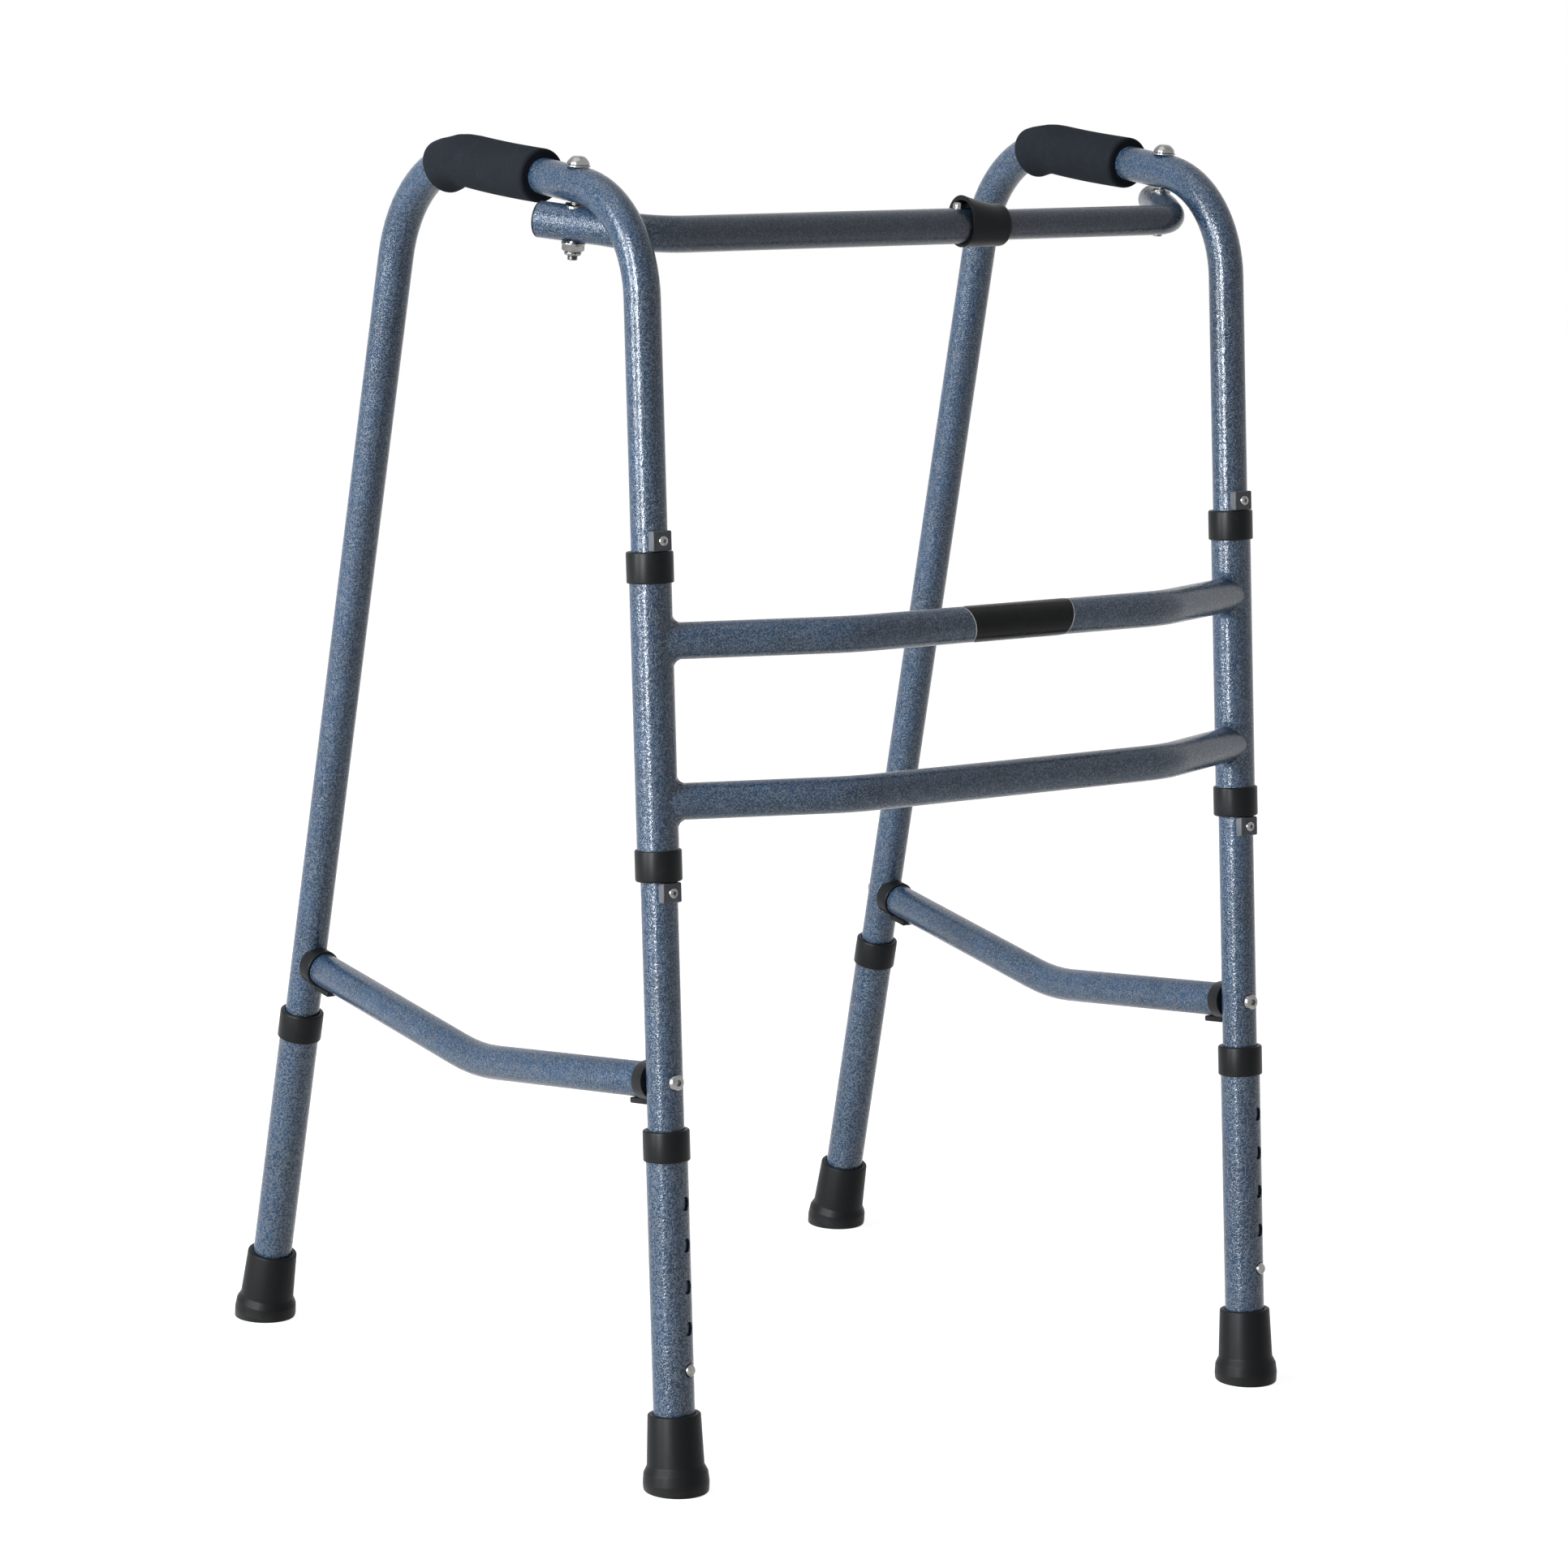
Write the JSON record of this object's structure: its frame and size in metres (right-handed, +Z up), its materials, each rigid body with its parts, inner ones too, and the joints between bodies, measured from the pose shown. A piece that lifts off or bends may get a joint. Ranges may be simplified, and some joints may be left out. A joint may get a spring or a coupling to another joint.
{
  "type": "folding walker",
  "caption": "Folding walking frame with foam grips, bowed crossbars, height-adjusting legs on rubber tips and a telescoping top bar that locks its folding sides open.",
  "frame": {"origin": "on the floor under the middle of the walker's width and depth", "axes": "+Z up, +X to the right as seen from the front, which is the user's left, -Y to the walker's front, which faces away from the user"},
  "size_m": [0.518, 0.5101, 0.8005],
  "materials": {
    "veined_blue_paint": "glossy hammered-look powder paint, blue with fine silver-grey veins",
    "spotted_silver_paint": "silver-blue powder paint with coarse dark blue spots",
    "slate_blue_paint": "dark slate blue powder paint, finely speckled",
    "black_plastic": "satin black moulded plastic",
    "grey_plastic": "satin dark grey moulded plastic",
    "black_rubber": "matt black rubber",
    "slate_foam": "matt closed-cell foam, slate black",
    "bright_zinc": "bright zinc plate"
  },
  "bodies": {
    "front_frame": {"upper_crossbar": "veined_blue_paint", "lower_crossbar": "veined_blue_paint", "hinge_sleeve_left": "veined_blue_paint", "upper_collar_left": "black_plastic", "lower_collar_left": "black_plastic", "hinge_sleeve_right": "veined_blue_paint", "upper_collar_right": "black_plastic", "lower_collar_right": "black_plastic"},
    "side_left": {"side_frame_left": "veined_blue_paint", "grip_left": "slate_foam", "upper_stop_left": "grey_plastic", "lower_stop_left": "grey_plastic", "upper_stop_screw_left": "bright_zinc", "lower_stop_screw_left": "bright_zinc", "side_brace_left": "veined_blue_paint", "brace_saddle_front_left": "grey_plastic", "brace_saddle_rear_left": "grey_plastic", "brace_bolt_front_left": "bright_zinc", "brace_bolt_rear_left": "bright_zinc", "bar_bolt_head_left": "bright_zinc"},
    "side_right": {"side_frame_right": "veined_blue_paint", "grip_right": "slate_foam", "upper_stop_right": "grey_plastic", "lower_stop_right": "grey_plastic", "upper_stop_screw_right": "bright_zinc", "lower_stop_screw_right": "bright_zinc", "side_brace_right": "veined_blue_paint", "brace_saddle_front_right": "grey_plastic", "brace_saddle_rear_right": "grey_plastic", "brace_bolt_front_right": "bright_zinc", "brace_bolt_rear_right": "bright_zinc", "bar_bolt_head_right": "bright_zinc"},
    "top_bar_outer": {"bar_outer_tube": "slate_blue_paint", "bar_lock_sleeve": "black_plastic", "bar_plug_left": "black_plastic", "bar_washer_left": "bright_zinc", "bar_bolt_shank_left": "bright_zinc", "bar_nut_left": "bright_zinc"},
    "top_bar_inner": {"bar_inner_tube": "slate_blue_paint", "bar_plug_right": "black_plastic", "bar_washer_right": "bright_zinc", "bar_bolt_shank_right": "bright_zinc", "bar_nut_right": "bright_zinc"},
    "lock_button": {"bar_lock_button": "bright_zinc"},
    "extension_front_left": {"leg_extension_front_left": "spotted_silver_paint", "leg_collar_front_left": "black_plastic", "rubber_tip_front_left": "black_rubber"},
    "button_front_left": {"snap_clip_front_left": "bright_zinc"},
    "extension_rear_left": {"leg_extension_rear_left": "spotted_silver_paint", "leg_collar_rear_left": "black_plastic", "rubber_tip_rear_left": "black_rubber"},
    "button_rear_left": {"snap_clip_rear_left": "bright_zinc"},
    "extension_front_right": {"leg_extension_front_right": "spotted_silver_paint", "leg_collar_front_right": "black_plastic", "rubber_tip_front_right": "black_rubber"},
    "button_front_right": {"snap_clip_front_right": "bright_zinc"},
    "extension_rear_right": {"leg_extension_rear_right": "spotted_silver_paint", "leg_collar_rear_right": "black_plastic", "rubber_tip_rear_right": "black_rubber"},
    "button_rear_right": {"snap_clip_rear_right": "bright_zinc"}
  },
  "joints": [
    {"name": "left_fold", "type": "hinge", "parent": "front_frame", "child": "side_left", "pos_m": [-0.2275, -0.22631, 0], "axis": [0, -0.088, -0.9961], "range_deg": [0, 84]},
    {"name": "right_fold", "type": "hinge", "parent": "front_frame", "child": "side_right", "pos_m": [0.2275, -0.22631, 0], "axis": [0, 0.088, 0.9961], "range_deg": [0, 16.81]},
    {"name": "top_bar_pivot", "type": "hinge", "parent": "side_left", "child": "top_bar_outer", "pos_m": [-0.22912, -0.09326, 0.75308], "axis": [0, 0.088, 0.9961], "range_deg": [0, 92.48]},
    {"name": "top_bar_telescope", "type": "slide", "parent": "top_bar_outer", "child": "top_bar_inner", "axis": [-1, 0, 0], "range_m": [0, 0.08242]},
    {"name": "lock_button_press", "type": "slide", "parent": "top_bar_inner", "child": "lock_button", "axis": [0, 0, -1], "range_m": [0, 0.0056], "deforming": ["bar_lock_button"]},
    {"name": "front_left_extension_slide", "type": "slide", "parent": "side_left", "child": "extension_front_left", "axis": [0, -0.088, -0.9961], "range_m": [0, 0.1016]},
    {"name": "front_left_button_press", "type": "slide", "parent": "side_left", "child": "button_front_left", "axis": [-0.3486, 0.9336, -0.0825], "range_m": [0, 0.0036], "stiffness_N_per_m": 3000, "springref_m": -0.001, "deforming": ["snap_clip_front_left"]},
    {"name": "rear_left_extension_slide", "type": "slide", "parent": "side_left", "child": "extension_rear_left", "axis": [-0.0067, 0.1873, -0.9823], "range_m": [0, 0.1016]},
    {"name": "rear_left_button_press", "type": "slide", "parent": "side_left", "child": "button_rear_left", "axis": [0.0235, -0.982, -0.1874], "range_m": [0, 0.0036], "stiffness_N_per_m": 3000, "springref_m": -0.001, "deforming": ["snap_clip_rear_left"]},
    {"name": "front_right_extension_slide", "type": "slide", "parent": "side_right", "child": "extension_front_right", "axis": [0, -0.088, -0.9961], "range_m": [0, 0.1016]},
    {"name": "front_right_button_press", "type": "slide", "parent": "side_right", "child": "button_front_right", "axis": [-0.3024, 0.9495, -0.0839], "range_m": [0, 0.0036], "stiffness_N_per_m": 3000, "springref_m": -0.001, "deforming": ["snap_clip_front_right"]},
    {"name": "rear_right_extension_slide", "type": "slide", "parent": "side_right", "child": "extension_rear_right", "axis": [0.0067, 0.1873, -0.9823], "range_m": [0, 0.1016]},
    {"name": "rear_right_button_press", "type": "slide", "parent": "side_right", "child": "button_rear_right", "axis": [-0.0235, -0.982, -0.1874], "range_m": [0, 0.0036], "stiffness_N_per_m": 3000, "springref_m": -0.001, "deforming": ["snap_clip_rear_right"]}
  ],
  "couplings": [
    {"joint": "right_fold", "follows": "left_fold", "ratio": 0.2},
    {"joint": "top_bar_pivot", "follows": "left_fold", "ratio": 1.1008},
    {"joint": "top_bar_telescope", "follows": "left_fold", "m_per_rad": 0.05621},
    {"joint": "lock_button_press", "follows": "left_fold", "m_per_rad": 0.0038}
  ]
}
